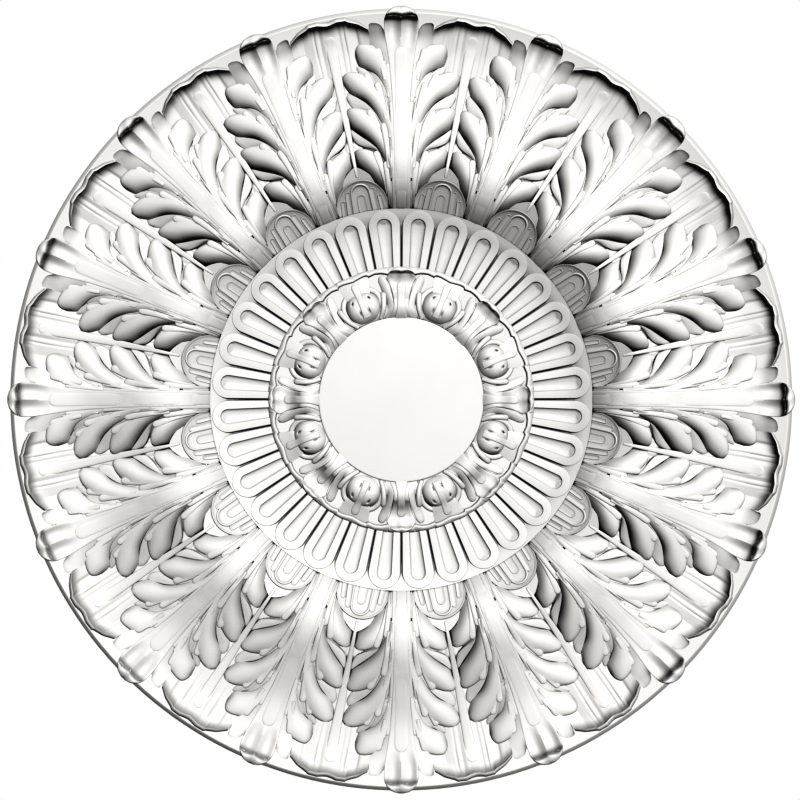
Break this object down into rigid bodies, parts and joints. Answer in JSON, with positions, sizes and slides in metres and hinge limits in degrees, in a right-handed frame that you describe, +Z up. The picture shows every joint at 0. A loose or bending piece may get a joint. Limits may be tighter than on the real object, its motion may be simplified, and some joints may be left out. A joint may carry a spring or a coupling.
{
  "type": "carved rosette",
  "caption": "Round cast plaster rosette: a wreath of acanthus leaves with upturned tips round a fluted ring, a roll of eggs and tongues and a plain centre disc.",
  "frame": {"origin": "centre of the flat back, on the wall or ceiling that the rosette is fixed to", "axes": "+Y points out of the flat back into the wall, the carved face looks along -Y, +Z runs up along the middle of one leaf"},
  "size_m": [0.782, 0.0533, 0.782],
  "materials": {
    "plaster": "matte"
  },
  "bodies": {
    "root": {"rosette": "plaster"}
  },
  "joints": []
}
